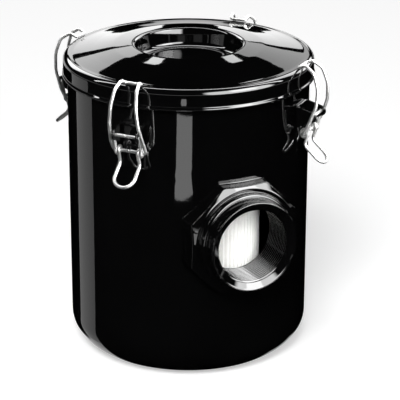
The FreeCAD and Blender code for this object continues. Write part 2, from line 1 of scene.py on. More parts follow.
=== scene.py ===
import math

import bmesh
import bpy
import numpy as np
from mathutils import Matrix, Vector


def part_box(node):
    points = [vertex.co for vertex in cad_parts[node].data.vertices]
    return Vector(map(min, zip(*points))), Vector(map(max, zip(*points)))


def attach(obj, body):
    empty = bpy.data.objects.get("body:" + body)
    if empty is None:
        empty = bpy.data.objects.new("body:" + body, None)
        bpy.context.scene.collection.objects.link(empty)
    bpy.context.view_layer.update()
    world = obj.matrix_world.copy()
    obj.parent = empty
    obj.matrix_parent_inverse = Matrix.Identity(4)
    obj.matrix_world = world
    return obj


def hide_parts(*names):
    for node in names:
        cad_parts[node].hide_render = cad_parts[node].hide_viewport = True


# Vacuum pump inlet filter. Sizes below are in millimetres, in the frame of the CAD model.

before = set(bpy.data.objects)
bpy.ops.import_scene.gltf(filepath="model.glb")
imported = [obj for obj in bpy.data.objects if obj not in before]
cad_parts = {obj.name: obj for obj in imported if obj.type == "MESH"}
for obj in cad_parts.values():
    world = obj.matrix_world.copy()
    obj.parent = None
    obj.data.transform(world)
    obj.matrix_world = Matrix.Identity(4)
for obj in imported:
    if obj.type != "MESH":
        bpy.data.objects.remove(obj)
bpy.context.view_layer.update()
mm = 0.001
latchTurns = [-50.0, 40.0, 130.0, 220.0]  # latches round the canister, from the inlet, anticlockwise


def inMillimetres(node):
    low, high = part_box(node)
    return np.array(low) / mm, np.array(high) / mm


canLow, canHigh = inMillimetres("canister_body")
lidLow, lidHigh = inMillimetres("lid")
inletLow, inletHigh = inMillimetres("inlet_port")
wallRadius = canHigh[0]
inletHeight = (inletLow[2] + inletHigh[2]) / 2
print("frame: canister %.1f mm across, %.1f mm to the top of the lid" % (2 * wallRadius, lidHigh[2]))


# Shapes

def roundedPath(places, rounds, finest=0.2):
    # straight runs joined by arcs: an arc of radius r that turns by t starts r tan(t/2) before its
    # corner and goes through start + r (1 - cos a) side + r sin a ahead, for a from 0 to t
    places = np.array(places, float)
    line = [places[:1]]
    for before, corner, after, bend in zip(places, places[1:], places[2:], rounds):
        ahead = (corner - before) / np.linalg.norm(corner - before)
        onward = (after - corner) / np.linalg.norm(after - corner)
        turn = math.acos(np.clip(ahead @ onward, -1, 1))
        if bend <= 0 or turn < 1e-4:
            line.append(corner[None])
            continue
        side = (onward - (ahead @ onward) * ahead) / math.sin(turn)
        start = corner - ahead * bend * math.tan(turn / 2)
        angles = np.linspace(0, turn, max(3, math.ceil(turn / finest) + 1))[:, None]
        line.append(start + bend * ((1 - np.cos(angles)) * side + np.sin(angles) * ahead))
    line.append(places[-1:])
    return np.concatenate(line)


def evenPath(line, step):
    # the same line with its runs cut into equal parts, none longer than the step
    lengths = np.linalg.norm(np.diff(line, axis=0), axis=1)
    line, lengths = line[np.concatenate([[True], lengths > 1e-3])], lengths[lengths > 1e-3]
    parts = np.ceil(lengths / step).astype(int)
    along = np.concatenate([[0], np.cumsum(lengths)])
    marks = np.interp(np.arange(parts.sum() + 1), np.concatenate([[0], np.cumsum(parts)]), along)
    return np.stack([np.interp(marks, along, line[:, axis]) for axis in range(line.shape[1])], axis=1)


def gridFaces(rows, columns, closeRows, closeColumns):
    # one quad between each pair of neighbouring rows and columns
    row, column = np.meshgrid(np.arange(rows - (not closeRows)), np.arange(columns - (not closeColumns)),
                              indexing="ij")
    nextRow, nextColumn = (row + 1) % rows, (column + 1) % columns
    corners = [row * columns + column, nextRow * columns + column,
               nextRow * columns + nextColumn, row * columns + nextColumn]
    return np.stack(corners, axis=-1).reshape(-1, 4)


def addPiece(name, points, faces, merge=True, slots=None):
    # points in millimetres become one smooth mesh, with poles and seams merged
    mesh = bpy.data.meshes.new(name)
    mesh.from_pydata((points.reshape(-1, 3) * mm).tolist(), [], faces.tolist())
    if slots is not None:
        mesh.polygons.foreach_set("material_index", slots.astype(np.int32))
    work = bmesh.new()
    work.from_mesh(mesh)
    if merge:
        bmesh.ops.remove_doubles(work, verts=work.verts, dist=2e-7)
    loose = [vertex for vertex in work.verts if not vertex.link_faces]
    bmesh.ops.delete(work, geom=loose, context="VERTS")
    work.to_mesh(mesh)
    work.free()
    mesh.shade_smooth()
    piece = bpy.data.objects.new(name, mesh)
    bpy.context.scene.collection.objects.link(piece)
    return piece


def revolved(name, profile, columns=192):
    # each profile point (r, z) goes round the vertical axis: (r cos a, r sin a, z)
    turns = np.linspace(0, 2 * math.pi, columns, endpoint=False)[:, None]
    points = np.stack([profile[:, 0] * np.cos(turns), profile[:, 0] * np.sin(turns),
                       profile[:, 1] + 0 * turns], axis=-1)
    return addPiece(name, points, gridFaces(columns, len(profile), True, False))


def revolvedRing(name, corners, rounds, columns=160, finest=0.35):
    # closed ring section with rounded corners, carried round the vertical axis
    middle = (np.array(corners[0], float) + np.array(corners[-1], float)) / 2
    profile = roundedPath([middle, *corners, middle], rounds, finest)
    piece = revolved(name, profile, columns)
    sharpenShading(piece)
    return piece


wireEnd = dict(steps=5, height=0.35)


def wireTube(path, radius, sides=20):
    # round wire: at each station a circle of the given radius across the path, from a normal that is
    # carried along without twist; each end closes in a shallow dome
    ahead = np.gradient(path, axis=0)
    ahead /= np.linalg.norm(ahead, axis=1)[:, None]
    normal = np.cross(ahead[0], [0.31, 0.42, 0.85])
    carried = []
    for tangent in ahead:
        normal = normal - (normal @ tangent) * tangent
        normal /= np.linalg.norm(normal)
        carried.append(normal)
    carried = np.array(carried)
    across = np.cross(ahead, carried)
    steps = wireEnd["steps"]
    dome = np.linspace(0, math.pi / 2, steps)
    reach = wireEnd["height"] * radius * np.sin(dome)
    narrow = np.cos(dome)
    middles = np.concatenate([path[0] - ahead[0] * reach[::-1, None], path[1:-1],
                              path[-1] + ahead[-1] * reach[:, None]])
    widths = radius * np.concatenate([narrow[::-1], np.ones(len(path) - 2), narrow])
    pick = np.concatenate([np.zeros(steps, int), np.arange(1, len(path) - 1), np.full(steps, len(path) - 1)])
    around = np.linspace(0, 2 * math.pi, sides, endpoint=False)
    ring = (np.cos(around)[None, :, None] * carried[pick][:, None]
            + np.sin(around)[None, :, None] * across[pick][:, None])
    points = middles[:, None] + widths[:, None, None] * ring
    return points, gridFaces(len(points), sides, False, True)[:, ::-1]


def joined(grids):
    # several grids of points and faces as one
    points, faces, count = [], [], 0
    for gridPoints, gridQuads in grids:
        points.append(gridPoints.reshape(-1, 3))
        faces.append(gridQuads + count)
        count += len(points[-1])
    return np.concatenate(points), np.concatenate(faces)


def turnedTo(points, angle):
    # from a latch's own frame, +X outward, to its place round the canister
    turn = math.radians(angle - 90)
    spin = np.array([[math.cos(turn), math.sin(turn), 0], [-math.sin(turn), math.cos(turn), 0], [0, 0, 1]])
    return points @ spin


def sharpenShading(piece):
    # flats stay flat right up to their rounded edges
    weighted = piece.modifiers.new("flats", "WEIGHTED_NORMAL")
    weighted.keep_sharp = True
    weighted.weight = 80


def thickened(piece, thickness, edge=0.3):
    # sheet metal: wall inward from the drawn face, with softened rims
    wall = piece.modifiers.new("wall", "SOLIDIFY")
    wall.thickness = thickness * mm
    wall.offset = -1
    wall.use_even_offset = True
    soft = piece.modifiers.new("rims", "BEVEL")
    soft.width = edge * mm
    soft.segments = 3
    soft.limit_method = "ANGLE"
    soft.angle_limit = math.radians(50)
    soft.harden_normals = True


# Materials

def startMaterial(name):
    material = bpy.data.materials.new(name)
    material.use_nodes = True
    nodes, links = material.node_tree.nodes, material.node_tree.links
    return material, nodes, links, nodes["Principled BSDF"]


def newGroup(name, inputs, outputs):
    group = bpy.data.node_groups.new(name, "ShaderNodeTree")
    for label, kind, value in inputs:
        socket = group.interface.new_socket(name=label, in_out="INPUT", socket_type=kind)
        socket.default_value = value
    for label, kind in outputs:
        group.interface.new_socket(name=label, in_out="OUTPUT", socket_type=kind)
    return group, group.nodes.new("NodeGroupInput"), group.nodes.new("NodeGroupOutput")


def buildSurfaceGrain():
    # fine bumps and slow blotches on object coordinates
    group, given, result = newGroup("surfaceGrain", [
        ("Scale", "NodeSocketFloat", 400.0), ("Height", "NodeSocketFloat", 0.1),
        ("Low", "NodeSocketFloat", 0.2), ("High", "NodeSocketFloat", 0.3),
        ("Blotch Scale", "NodeSocketFloat", 30.0),
    ], [("Roughness", "NodeSocketFloat"), ("Mask", "NodeSocketFloat"), ("Normal", "NodeSocketVector")])
    nodes, links = group.nodes, group.links
    place = nodes.new("ShaderNodeTexCoord")
    fine = nodes.new("ShaderNodeTexNoise")
    fine.inputs["Detail"].default_value = 3
    slow = nodes.new("ShaderNodeTexNoise")
    slow.inputs["Detail"].default_value = 5
    spread = nodes.new("ShaderNodeMapRange")
    spread.inputs["From Min"].default_value = 0.3
    spread.inputs["From Max"].default_value = 0.7
    bump = nodes.new("ShaderNodeBump")
    bump.inputs["Distance"].default_value = 0.0004
    links.new(place.outputs["Object"], fine.inputs["Vector"])
    links.new(place.outputs["Object"], slow.inputs["Vector"])
    links.new(given.outputs["Scale"], fine.inputs["Scale"])
    links.new(given.outputs["Blotch Scale"], slow.inputs["Scale"])
    links.new(slow.outputs["Fac"], spread.inputs["Value"])
    links.new(given.outputs["Low"], spread.inputs["To Min"])
    links.new(given.outputs["High"], spread.inputs["To Max"])
    links.new(given.outputs["Height"], bump.inputs["Strength"])
    links.new(fine.outputs["Fac"], bump.inputs["Height"])
    links.new(spread.outputs["Result"], result.inputs["Roughness"])
    links.new(slow.outputs["Fac"], result.inputs["Mask"])
    links.new(bump.outputs["Normal"], result.inputs["Normal"])
    return group


surfaceGrain = buildSurfaceGrain()


finishes = dict(
    blackEnamel=dict(dark=(0.0016, 0.0016, 0.0017), light=(0.0024, 0.0024, 0.0025), metallic=0.0,
                     grainScale=260.0, grainHeight=0.010, smoothest=0.42, roughest=0.50, blotchScale=18.0),
    platedWire=dict(dark=(0.54, 0.54, 0.53), light=(0.70, 0.70, 0.70), metallic=1.0,
                    grainScale=900.0, grainHeight=0.05, smoothest=0.42, roughest=0.56, blotchScale=90.0),
    zincSheet=dict(dark=(0.50, 0.51, 0.52), light=(0.66, 0.67, 0.68), metallic=1.0,
                   grainScale=260.0, grainHeight=0.12, smoothest=0.30, roughest=0.46, blotchScale=40.0),
    turnedSteel=dict(dark=(0.42, 0.42, 0.42), light=(0.60, 0.60, 0.60), metallic=1.0,
                     grainScale=800.0, grainHeight=0.10, smoothest=0.20, roughest=0.34, blotchScale=60.0),
    blackRubber=dict(dark=(0.018, 0.018, 0.018), light=(0.030, 0.030, 0.030), metallic=0.0,
                     grainScale=1500.0, grainHeight=0.3, smoothest=0.60, roughest=0.75, blotchScale=60.0),
    pleatPaper=dict(dark=(0.80, 0.80, 0.78), light=(0.88, 0.88, 0.86), metallic=0.0,
                    grainScale=1800.0, grainHeight=0.25, smoothest=0.80, roughest=0.95, blotchScale=120.0))
clearSkin = dict(weight=1.0, roughness=0.03)


def buildFinish(name):
    # slow blotches tint the colour between dark and light and vary the roughness, under a fine grain
    f = finishes[name]
    material, nodes, links, shader = startMaterial(name)
    grain = nodes.new("ShaderNodeGroup")
    grain.node_tree = surfaceGrain
    for label, value in (("Scale", f["grainScale"]), ("Height", f["grainHeight"]), ("Low", f["smoothest"]),
                         ("High", f["roughest"]), ("Blotch Scale", f["blotchScale"])):
        grain.inputs[label].default_value = value
    tint = nodes.new("ShaderNodeValToRGB")
    tint.color_ramp.elements[0].position = 0.3
    tint.color_ramp.elements[0].color = (*f["dark"], 1)
    tint.color_ramp.elements[1].position = 0.7
    tint.color_ramp.elements[1].color = (*f["light"], 1)
    shader.inputs["Metallic"].default_value = f["metallic"]
    links.new(grain.outputs["Roughness"], shader.inputs["Roughness"])
    links.new(grain.outputs["Normal"], shader.inputs["Normal"])
    links.new(grain.outputs["Mask"], tint.inputs["Fac"])
    links.new(tint.outputs["Color"], shader.inputs["Base Color"])
    return material, links, grain, shader


def buildEnamel():
    # black stoved enamel: deep black under a clear skin with a trace of orange peel
    material, links, grain, shader = buildFinish("blackEnamel")
    shader.inputs["Specular IOR Level"].default_value = 0.0
    shader.inputs["Coat Weight"].default_value = clearSkin["weight"]
    shader.inputs["Coat Roughness"].default_value = clearSkin["roughness"]
    links.new(grain.outputs["Normal"], shader.inputs["Coat Normal"])
    return material


blackEnamel = buildEnamel()
platedWire = buildFinish("platedWire")[0]
zincSheet = buildFinish("zincSheet")[0]
turnedSteel = buildFinish("turnedSteel")[0]
blackRubber = buildFinish("blackRubber")[0]
pleatPaper = buildFinish("pleatPaper")[0]
print("materials built")


def dress(piece, material, slot, body, *nodes):
    # finish, a slot name that is not used, body to ride on and CAD nodes that the piece stands for
    piece.data.materials.append(material)
    if nodes:
        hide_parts(*nodes)
    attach(piece, body)
    return piece


# Canister

canister = dict(sheet=1.5, baseCorner=24.0, dishDepth=12.0, dishFlat=50.0, dishFoot=60.0, dishRound=3.0,
                outletHole=36.5, inletHole=35.7, columns=144, holeRing=8, freeRing=13, edge=0.35)


def buildCanister():
    # wall and base profile carried round the axis; round the inlet, square rings of the grid are
    # eased onto the round hole: place = (1 - t) circle + t grid, t from 0 at the hole to 1 outside
    c = canister
    radius, top = wallRadius, canHigh[2]
    base = roundedPath([(c["outletHole"], c["dishDepth"]), (c["dishFlat"], c["dishDepth"]),
                        (c["dishFoot"], 0), (radius, 0), (radius, c["baseCorner"] + 1)],
                       [c["dishRound"], c["dishRound"], c["baseCorner"]], 0.09)[:-1]
    base = evenPath(base, 4.0)
    step = 2 * math.pi * radius / c["columns"]
    levels = np.arange(math.ceil((base[-1, 1] + 1 - inletHeight) / step),
                       math.floor((top - 1 - inletHeight) / step) + 1)
    heights = np.concatenate([base[:, 1], inletHeight + levels * step, [top]])
    radii = np.concatenate([base[:, 0], np.full(len(levels) + 1, radius)])
    level = np.concatenate([np.full(len(base), -99), levels, [99]])
    column = np.arange(c["columns"]) - c["columns"] // 2
    u, v = np.meshgrid(column, level, indexing="ij")
    ring = np.maximum(abs(u), abs(v))
    ease = np.clip((ring - c["holeRing"]) / (c["freeRing"] - c["holeRing"]), 0, 1)
    toward = np.arctan2(v, u)
    holeArc = radius * np.arcsin(c["inletHole"] * np.cos(toward) / radius)
    arc = np.where(ease < 1, (1 - ease) * holeArc + ease * u * step, u * step)
    height = np.where(ease < 1, (1 - ease) * (inletHeight + c["inletHole"] * np.sin(toward))
                      + ease * heights[None, :], heights[None, :])
    angle = arc / radius - math.pi / 2
    points = np.stack([radii * np.cos(angle), radii * np.sin(angle), height], axis=-1)
    faces = gridFaces(c["columns"], len(heights), True, False)
    faces = faces[ring.reshape(-1)[faces].max(axis=1) > c["holeRing"]]
    piece = addPiece("canisterShell", points, faces)
    thickened(piece, c["sheet"], c["edge"])
    return dress(piece, blackEnamel, "black_paint", "housing", "canister_body")


buildCanister()
print("canister built")


# Inlet and outlet sockets

thread = dict(majorRadius=29.8, depth=1.48, crest=0.78, sharpness=0.96, pitch=2.309, perTurn=13)
inlet = dict(across=44.0, cornerSharpness=80, land=41.8, bossHeight=9.5, cornerSlope=30.0, bead=38.6,
             beadLength=4.2, beadRound=2.4, neck=35.6, neckLength=25.0, neckRound=0.75, mouth=34.6,
             mouthSlope=1.6, spigotLength=7.0, paintFillet=1.0, edge=1.1, innerEdge=0.8, columns=208)


def threadRadius(turn, along):
    # helical ridges inside the bore: major radius - depth * wave, the wave a rounded triangle of
    # (along - pitch * turn / 2 pi) / pitch whose crest is cut flat
    phase = 2 * math.pi * (along / thread["pitch"] - turn / (2 * math.pi))
    wave = 0.5 + 0.5 * np.arcsin(thread["sharpness"] * np.sin(phase)) / math.asin(thread["sharpness"])
    return thread["majorRadius"] - thread["depth"] * np.minimum(wave / thread["crest"], 1)


def easedCorner(before, corner, after, trim, steps=5):
    # corner of a profile replaced by a parabola that starts and ends a trim away from it
    back, ahead = before - corner, after - corner
    start = corner + back * trim / np.linalg.norm(back, axis=-1, keepdims=True)
    end = corner + ahead * trim / np.linalg.norm(ahead, axis=-1, keepdims=True)
    return [(1 - t) ** 2 * start + 2 * t * (1 - t) * corner + t ** 2 * end for t in np.linspace(0, 1, steps)]


def buildInlet():
    # profile (distance from the inlet axis, distance from the canister axis) carried round the inlet
    # axis; the boss is an octagon, whose radius is 1 / (sum of (cos(angle to a flat) / across)^p)^(1/p)
    s = inlet
    turn = np.linspace(0, 2 * math.pi, s["columns"], endpoint=False)
    away = np.cos(turn[:, None] - np.arange(8)[None] * math.pi / 4) / s["across"]
    octagon = (np.clip(away, 0, None) ** s["cornerSharpness"]).sum(axis=1) ** (-1 / s["cornerSharpness"])
    face = wallRadius + s["bossHeight"]
    tip = wallRadius + s["neckLength"]
    end = wallRadius - s["spigotLength"]

    def onWall(distance):
        return np.sqrt(wallRadius ** 2 - (distance * np.cos(turn)) ** 2)

    def row(distance, along):
        return np.stack([distance + 0 * turn, along + 0 * turn], axis=-1)

    corner = row(octagon, face - (octagon - s["land"]) * math.tan(math.radians(s["cornerSlope"])))
    foot = row(octagon, onWall(octagon))
    flare = row(octagon + 2 * s["paintFillet"], onWall(octagon + 2 * s["paintFillet"]) - 0.05)
    land, bead = row(s["land"], face), row(s["bead"], face)
    rows = easedCorner(flare, foot, corner, s["paintFillet"])
    rows += easedCorner(foot, corner, land, s["edge"])
    rows += easedCorner(corner, land, bead, s["innerEdge"])
    outside = roundedPath([(s["land"] - 1.2, face), (s["bead"] + 0.01, face),
                           (s["bead"], face + s["beadLength"]), (s["neck"], face + s["beadLength"]),
                           (s["neck"], tip), (s["mouth"], tip), (s["mouth"] - 0.4, tip - 0.4)],
                          [0.5, s["beadRound"], 0.5, s["neckRound"], 0.25], 0.25)[1:]
    rows += [row(distance, along) for distance, along in evenPath(outside, 3.0)]
    for along in np.arange(tip - 0.6, end + 0.2, -thread["pitch"] / thread["perTurn"]):
        funnel = s["mouth"] - s["mouthSlope"] * (tip - along)
        rows.append(row(np.maximum(threadRadius(turn, along), funnel), along))
    wall = onWall(s["neck"])
    rows += [row(s["neck"], end), row(s["neck"], wall - 0.8), row(s["neck"], wall + 0.1)]
    profile = np.stack(rows, axis=1)
    points = np.stack([profile[..., 0] * np.cos(turn)[:, None], -profile[..., 1],
                       inletHeight + profile[..., 0] * np.sin(turn)[:, None]], axis=-1)
    faces = gridFaces(s["columns"], len(rows), True, True)
    piece = addPiece("inletSocket", points, faces, merge=False)
    sharpenShading(piece)
    dress(piece, blackEnamel, "black_paint", "housing", "inlet_port")


outlet = dict(outside=36.4, seatRadius=46.0, seatThickness=3.0, length=35.0, chamfer=1.6, columns=160)


def buildOutlet():
    # the same thread in a plain socket, whose flange carries the element's seal
    s = outlet
    turn = np.linspace(0, 2 * math.pi, s["columns"], endpoint=False)
    mouthRadius, seatFoot = thread["majorRadius"] + s["chamfer"], s["length"] - s["seatThickness"]
    outside = roundedPath([(mouthRadius, 0), (s["outside"], 0), (s["outside"], seatFoot),
                           (s["seatRadius"], seatFoot), (s["seatRadius"], s["length"]),
                           (mouthRadius, s["length"])], [0.8, 1.0, 0.6, 0.6], 0.3)
    rows = [np.stack([radius + 0 * turn, height + 0 * turn], axis=-1)
            for radius, height in evenPath(outside, 4.0)]
    first = len(rows)
    for height in np.arange(s["length"] - 0.2, 0.1, -thread["pitch"] / thread["perTurn"]):
        mouth = mouthRadius - min(height, s["length"] - height)
        rows.append(np.stack([np.maximum(threadRadius(turn, height), mouth), height + 0 * turn], axis=-1))
    profile = np.stack(rows, axis=1)
    points = np.stack([profile[..., 0] * np.cos(turn)[:, None], profile[..., 0] * np.sin(turn)[:, None],
                       profile[..., 1]], axis=-1)
    faces = gridFaces(s["columns"], len(rows), True, True)
    piece = addPiece("outletSocket", points, faces, merge=False, slots=faces[:, 0] % len(rows) >= first)
    sharpenShading(piece)
    dress(piece, blackEnamel, "black_paint", "housing", "outlet_port")
    piece.data.materials.append(turnedSteel)


buildInlet()
buildOutlet()
print("sockets built")


# Lid

lid = dict(sheet=1.5, skirtFoot=221.9, rim=239.2, rimCorner=5.0, rimFlat=90.5, outerKnee=75.0, outerRise=2.6,
           innerKnee=59.0, innerRise=5.6, wellRadius=42.1, wellRise=7.4, wellDepth=15.0, wellTaper=2.6,
           wellLip=2.6, wellCorner=4.0, kneeRound=40.0, hem=1.1, bead=0.9, beadTop=3.2, beadFall=1.3,
           beadRound=1.4, flatRound=12.0, edge=0.3)


def buildLid():
    # pressed face from the skirt's foot up over the rim, across three slopes and down into the well
    c = lid
    outer = lidHigh[0]
    mouth = c["rim"] + c["wellRise"]
    wellFloor = mouth - c["wellDepth"]
    beadTop = c["skirtFoot"] + c["beadTop"]
    profile = roundedPath([
        (outer - c["hem"], c["skirtFoot"]), (outer + c["bead"], c["skirtFoot"] + 0.3),
        (outer + c["bead"], beadTop - c["beadFall"]), (outer, beadTop), (outer, c["rim"]),
        (c["rimFlat"], c["rim"]), (c["outerKnee"], c["rim"] + c["outerRise"]),
        (c["innerKnee"], c["rim"] + c["innerRise"]), (c["wellRadius"], mouth),
        (c["wellRadius"] - c["wellTaper"], wellFloor), (0, wellFloor)],
        [0.9, c["beadRound"], c["beadRound"], c["rimCorner"], c["flatRound"], c["kneeRound"], c["kneeRound"],
         c["wellLip"], c["wellCorner"]], 0.12)
    piece = revolved("lidShell", evenPath(profile, 4.0), 240)
    thickened(piece, c["sheet"], c["edge"])
    return dress(piece, blackEnamel, "black_paint", "lid", "lid")


gasket = dict(outer=95.4, inner=89.0, low=235.2, high=237.7, edge=0.4, shoulder=2.2)


def buildRubberRing(name, ring, rounds, body, node):
    # rectangular section with rounded edges
    corners = [(ring["inner"], ring["low"]), (ring["outer"], ring["low"]), (ring["outer"], ring["high"]),
               (ring["inner"], ring["high"])]
    dress(revolvedRing(name, corners, rounds), blackRubber, "rubber", body, node)


buildLid()
buildRubberRing("lidGasket", gasket, [gasket[part] for part in ("edge", "edge", "shoulder", "edge")], "lid",
                "lid_gasket")
print("lid built")


# Filter element

element = dict(pleats=84, tip=58.0, root=40.4, paper=0.5, low=39.7, high=223.9, foldSharpness=0.985,
               perPleat=12, wideDrift=0.22, fineDrift=0.16, sway=0.0022, swayHeight=31.0, inset=0.38)
cap = dict(radius=60.5, sheet=1.2, lip=8.0, low=38.5, high=225.1, hole=32.2, bend=2.0, edge=0.3)
seal = dict(inner=31.0, outer=44.0, low=35.0, high=38.5, edge=1.0)
pad = dict(inner=20.0, outer=34.0, low=225.1, high=230.1, edge=1.2)


def buildPleats():
    # folded paper: radius = middle + reach * rounded triangle of the pleat angle, a little uneven
    e = element
    turn = np.linspace(0, 2 * math.pi, e["pleats"] * e["perPleat"], endpoint=False)
    fold = np.arcsin(e["foldSharpness"] * np.cos(e["pleats"] * turn)) / math.asin(e["foldSharpness"])
    middle, reach = (e["tip"] + e["root"]) / 2, (e["tip"] - e["root"]) / 2
    drift = e["wideDrift"] * np.sin(5 * turn + 1.0) + e["fineDrift"] * np.sin(17 * turn)
    heights = np.linspace(e["low"], e["high"], 9)
    sway = e["sway"] * np.sin(9 * turn[:, None] + heights[None] / e["swayHeight"])
    radius = (middle + reach * fold - e["inset"] + np.minimum(drift, 0) * (fold > 0))[:, None] + 0 * heights
    points = np.stack([radius * np.cos(turn[:, None] + sway), radius * np.sin(turn[:, None] + sway),
                       heights + 0 * radius], axis=-1)
    piece = addPiece("pleatedPaper", points, gridFaces(len(turn), len(heights), True, False))
    wall = piece.modifiers.new("paper", "SOLIDIFY")
    wall.thickness = e["paper"] * mm
    wall.offset = -1
    dress(piece, pleatPaper, "filter_paper", "filter_element", "element_media")


def buildCaps():
    # pressed pans with a rolled lip
    c = cap
    bottom = [(c["hole"], c["low"]), (c["radius"], c["low"]), (c["radius"], c["low"] + c["lip"])]
    top = [(c["radius"], c["high"] - c["lip"]), (c["radius"], c["high"]), (0, c["high"])]
    for name, corners, node in (("bottomCap", bottom, "element_bottom_cap"),
                                ("topCap", top, "element_top_cap")):
        piece = revolved(name, evenPath(roundedPath(corners, [c["bend"]]), 4.0), 160)
        thickened(piece, c["sheet"], c["edge"])
        dress(piece, zincSheet, "zinc_steel", "filter_element", node)


buildPleats()
buildCaps()
buildRubberRing("bottomSeal", seal, [seal["edge"]] * 4, "filter_element", "element_bottom_seal")
buildRubberRing("topPad", pad, [pad["edge"]] * 4, "filter_element", "element_top_pad")
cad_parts["element_inner_tube"].data.materials.clear()
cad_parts["element_inner_tube"].data.materials.append(zincSheet)
print("element built")


# Latches

latch = dict(wire=2.5, pivotOut=13.0, pivotHeight=203.0, eyeOut=7.5, eyeHeight=189.5, endHalf=0.5,
             earHalf=8.9, gap=0.3, pinBend=1.6, eyeRadius=2.8)
lever = dict(kinkOut=7.2, kinkDrop=23.5, kinkWide=0.4, handleOut=22.0, handleDrop=37.2, handleHalf=8.4,
             handleRound=7.84, kinkBend=5.0, armBend=6.0, armEnd=1.5, exitIn=0.4, exitDrop=2.0, exitBend=3.0,
             eyeShift=2.65, eyeSteps=41)
bail = dict(footOut=4.4, footWide=0.3, footRise=8.0, calfIn=0.6, calfNarrow=1.4, calfDrop=14.0,
            bowOut=17.9, bowHeight=226.0, bowWide=0.6, neckIn=4.2, neckNarrow=1.4, neckRise=12.0,
            leadOut=5.2, leadWide=0.9, leadRise=2.6, hookHalf=6.4, hookAngle=22.0,
            bends=[1.6, 8.0, 20.0, 20.0, 8.0, 3.0, 1.6])
bracket = dict(sheet=1.5, earTip=4.2, earTop=7.5, earFoot=10.0, lowEdgeAngle=66.0, highEdgeAngle=78.0,
               plateFoot=29.0, hole=1.4, weldGap=0.1, edge=0.35, plateColumns=13, plateRows=15,
               earRings=6, earColumns=96)
armSide = latch["earHalf"] + latch["gap"] + latch["wire"] / 2
legSide = armSide + latch["wire"] + latch["gap"]


def mirroredPath(half):
    return np.concatenate([half, (half * [1, -1, 1])[::-1]])


def buildLever(number, angle):
    # pin through the ear, arm down to the eye, one turn of wire round the bail's pin, then kink and
    # handle; the turn is a helix: centre + eyeRadius (cos a, sin a), a from 0 to -360 degrees
    out = wallRadius
    eyeX, eyeZ = out + latch["eyeOut"], latch["eyeHeight"]
    pivotX, pivotZ = out + latch["pivotOut"], latch["pivotHeight"]
    tangentX = eyeX + latch["eyeRadius"]
    arm = roundedPath([(pivotX, latch["endHalf"], pivotZ), (pivotX, armSide, pivotZ),
                       (tangentX, armSide, eyeZ + lever["armEnd"]), (tangentX, armSide, eyeZ)],
                      [latch["pinBend"], lever["armBend"]], 0.16)
    around = np.linspace(0, -2 * math.pi, lever["eyeSteps"])
    shift = armSide - lever["eyeShift"] * np.linspace(0, 1, lever["eyeSteps"])
    coil = np.stack([eyeX + latch["eyeRadius"] * np.cos(around), shift,
                     eyeZ + latch["eyeRadius"] * np.sin(around)], axis=-1)
    exitSide = armSide - lever["eyeShift"]
    kinkZ, handleZ = pivotZ - lever["kinkDrop"], pivotZ - lever["handleDrop"]
    handle = roundedPath([(tangentX, exitSide, eyeZ),
                          (tangentX - lever["exitIn"], exitSide, eyeZ - lever["exitDrop"]),
                          (out + lever["kinkOut"], exitSide + lever["kinkWide"], kinkZ),
                          (out + lever["handleOut"], lever["handleHalf"], handleZ),
                          (out + lever["handleOut"], 0, handleZ)],
                         [lever["exitBend"], lever["kinkBend"], lever["handleRound"]], 0.12)
    half = evenPath(np.concatenate([arm[:-1], coil[:-1], handle]), 1.2)
    points, faces = wireTube(mirroredPath(half[:-1]), latch["wire"] / 2)
    piece = addPiece("latchLever%d" % number, turnedTo(points, angle), faces)
    dress(piece, platedWire, "bright_wire", "lever_%d" % number, "latch_%d_lever" % number)


def buildBail(number, angle):
    # pin through the eye, bowed leg up past the skirt, hook that lies on the rim's rounding
    b = bail
    out, corner = wallRadius, lid["rimCorner"]
    eyeX, eyeZ = out + latch["eyeOut"], latch["eyeHeight"]
    reach = corner + latch["gap"] + latch["wire"] / 2
    turn = math.radians(b["hookAngle"])
    hook = np.array([lidHigh[0] - corner + reach * math.sin(turn), b["hookHalf"],
                     lid["rim"] - corner + reach * math.cos(turn)])
    bow = np.array([out + b["bowOut"], (legSide + b["hookHalf"]) / 2 + b["bowWide"], b["bowHeight"]])
    places = [(eyeX, latch["endHalf"], eyeZ), (eyeX, legSide, eyeZ),
              (eyeX + b["footOut"], legSide + b["footWide"], eyeZ + b["footRise"]),
              (bow[0] - b["calfIn"], legSide - b["calfNarrow"], bow[2] - b["calfDrop"]), bow,
              (bow[0] - b["neckIn"], bow[1] - b["neckNarrow"], bow[2] + b["neckRise"]),
              hook + [b["leadOut"], b["leadWide"], b["leadRise"]], hook, hook * [1, 0, 1]]
    half = evenPath(roundedPath(places, b["bends"], 0.12), 1.2)
    points, faces = wireTube(mirroredPath(half[:-1]), latch["wire"] / 2)
    piece = addPiece("latchBail%d" % number, turnedTo(points, angle), faces)
    dress(piece, platedWire, "bright_wire", "bail_%d" % number, "latch_%d_bail" % number)


